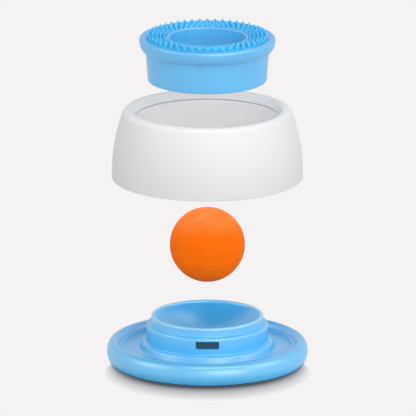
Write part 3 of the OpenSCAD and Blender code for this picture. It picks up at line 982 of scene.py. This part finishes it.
class LICKBOWL_OT_stage(bpy.types.Operator):
    """Set up the camera, the soft studio light and the pale floor"""

    bl_idname = "lickbowl.stage"
    bl_label = "Studio Stage"

    def execute(self, context):
        s = context.scene.lickbowl_stage
        context.scene.view_settings.view_transform = "Standard"
        make_world(s)
        context.scene.camera = self.add_camera(s)
        floor = self.add_floor(s)
        self.add_lamp("Key", s.key, toward=(0.28, 0.54, 0.79), spread=20)
        fill = self.add_lamp("Fill", s.fill, toward=(0.36, -0.91, 0.17), spread=45)
        left = self.add_lamp("Left", s.sides, toward=(-0.8, -0.2, 0.57), spread=40)
        right = self.add_lamp("Right", s.sides, toward=(0.8, -0.2, 0.57), spread=40)
        self.add_softbox("Softbox", s.softbox, toward=(0.1, -0.5, 0.86), size=(1.6, 0.4))
        over_shell = self.add_softbox("Over shell", s.over_shell, toward=(0, -0.3, 0.95), size=(1.4, 0.9))
        over_ball = self.add_softbox("Over ball", s.over_ball, toward=(0, 0.05, 1), size=(0.9, 0.9))
        under_ball = self.add_lamp("Under ball", s.under_ball, toward=(0, -0.75, -0.66), spread=40)
        pieces = bpy.data.objects
        floor_only = self.group("Floor only", "INCLUDE", floor)
        all_but_floor = self.group("All but floor", "EXCLUDE", floor)
        shell = self.group("Shell", "INCLUDE", pieces["shell_moulding"])
        ball = self.group("Ball", "INCLUDE", pieces["ball_upper"], pieces["ball_lower"])
        self.link(fill, all_but_floor)
        self.link(left, all_but_floor, floor_only)
        self.link(right, all_but_floor, floor_only)
        self.link(over_shell, shell, floor_only)
        self.link(over_ball, ball, floor_only)
        self.link(under_ball, ball, ball)
        return {"FINISHED"}

    def add_floor(self, s):
        """The wide floor that the bowl stands on."""
        mesh = bmesh.new()
        bmesh.ops.create_grid(mesh, x_segments=1, y_segments=1, size=s.floor_half)
        data = bpy.data.meshes.new("floor")
        mesh.to_mesh(data)
        mesh.free()
        data.materials.append(floor_material(s))
        return add_object("floor", data)

    def add_camera(self, s):
        """A long lens at the viewing angle."""
        data = bpy.data.cameras.new("Camera")
        data.lens = data.sensor_width * s.distance / s.view_width
        data.clip_end = 10 * s.distance
        camera = add_object("Camera", data)
        back = Vector((0, -cos(s.elevation), sin(s.elevation)))
        camera.location = Vector((s.look_side, 0, s.look_height)) + back * s.distance
        camera.rotation_euler = back.to_track_quat("Z", "Y").to_euler()
        return camera

    def add_lamp(self, name, energy, toward, spread):
        """A soft lamp far away in one direction, as wide as its spread in degrees."""
        data = bpy.data.lights.new(name, "SUN")
        data.energy = energy
        data.angle = radians(spread)
        lamp = add_object(name, data)
        lamp.rotation_euler = Vector(toward).to_track_quat("Z", "Y").to_euler()
        return lamp

    def add_softbox(self, name, power, toward, size):
        """A softbox of a width and height in one direction, which the rounded edges mirror."""
        data = bpy.data.lights.new(name, "AREA")
        data.energy = power
        data.shape = "RECTANGLE"
        data.size, data.size_y = size
        softbox = add_object(name, data)
        side = Vector(toward).normalized()
        s = bpy.context.scene.lickbowl_stage
        softbox.location = Vector((0, 0, s.look_height)) + s.lamp_distance * side
        softbox.rotation_euler = side.to_track_quat("Z", "Y").to_euler()
        return softbox

    def group(self, name, state, *objects):
        """Objects that a lamp lights, passes by or is blocked by."""
        made = bpy.data.collections.new(name)
        for obj in objects:
            made.objects.link(obj)
        for item in made.collection_objects:
            item.light_linking.link_state = state
        return made

    def link(self, lamp, lit, blocking=None):
        """Says what a lamp lights and what blocks it, so that no lifted piece darkens the one below."""
        lamp.light_linking.receiver_collection = lit
        if blocking:
            lamp.light_linking.blocker_collection = blocking


class LICKBOWL_PT_pieces(bpy.types.Panel):
    """Lists the operators that build the bowl"""

    bl_idname = "LICKBOWL_PT_pieces"
    bl_label = "Lick Bowl"
    bl_space_type = "VIEW_3D"
    bl_region_type = "UI"
    bl_category = "Lick Bowl"

    def draw(self, context):
        for operator in OPERATORS:
            self.layout.operator(operator.bl_idname)


GROUPS = {
    "lickbowl_base": BaseSizes,
    "lickbowl_ball": BallSizes,
    "lickbowl_shell": ShellSizes,
    "lickbowl_ring": RingSizes,
    "lickbowl_nubs": NubSizes,
    "lickbowl_stage": StageSettings,
}
OPERATORS = (LICKBOWL_OT_base, LICKBOWL_OT_foot_ring, LICKBOWL_OT_ball, LICKBOWL_OT_shell,
             LICKBOWL_OT_ring, LICKBOWL_OT_nubs, LICKBOWL_OT_stage)
CLASSES = (*GROUPS.values(), *OPERATORS, LICKBOWL_PT_pieces)


def register():
    for cls in CLASSES:
        bpy.utils.register_class(cls)
    for name, group in GROUPS.items():
        setattr(bpy.types.Scene, name, PointerProperty(type=group))


def unregister():
    for name in GROUPS:
        delattr(bpy.types.Scene, name)
    for cls in reversed(CLASSES):
        bpy.utils.unregister_class(cls)


def main():
    """Builds the pieces and the stage."""
    register()
    bpy.ops.lickbowl.base()
    bpy.ops.lickbowl.foot_ring()
    bpy.ops.lickbowl.ball()
    bpy.ops.lickbowl.shell()
    bpy.ops.lickbowl.ring()
    bpy.ops.lickbowl.nubs()
    bpy.ops.lickbowl.stage()


if __name__ == "__main__":
    main()
